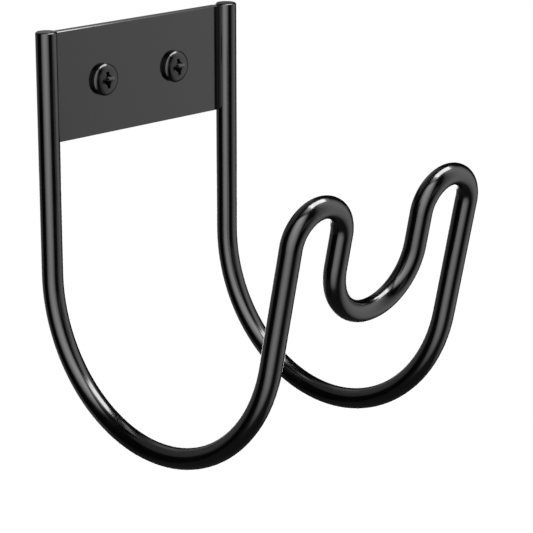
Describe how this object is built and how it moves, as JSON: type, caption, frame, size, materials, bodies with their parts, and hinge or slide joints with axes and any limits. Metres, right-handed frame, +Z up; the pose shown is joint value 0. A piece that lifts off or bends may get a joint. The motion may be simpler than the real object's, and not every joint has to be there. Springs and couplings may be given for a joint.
{
  "type": "hose hanger",
  "caption": "Wall hose hanger: a round bar bent to a double J cradle with a horned front loop, and a screw plate welded between its uprights.",
  "frame": {"origin": "centre of the mounting plate's back face, midway between the screws, in the wall plane", "axes": "+Z up, +Y into the wall, so the hanger stands out along -Y; +X to the right seen from the front"},
  "size_m": [0.124, 0.1997, 0.1881],
  "materials": {
    "bar_coat": "glossy black coating",
    "plate_coat": "glossy black coating",
    "screw_black": "glossy black coating"
  },
  "bodies": {
    "root": {"bent_rod": "bar_coat", "mounting_plate": "plate_coat", "plate_welds": "bar_coat", "mounting_screws": "screw_black"}
  },
  "joints": []
}
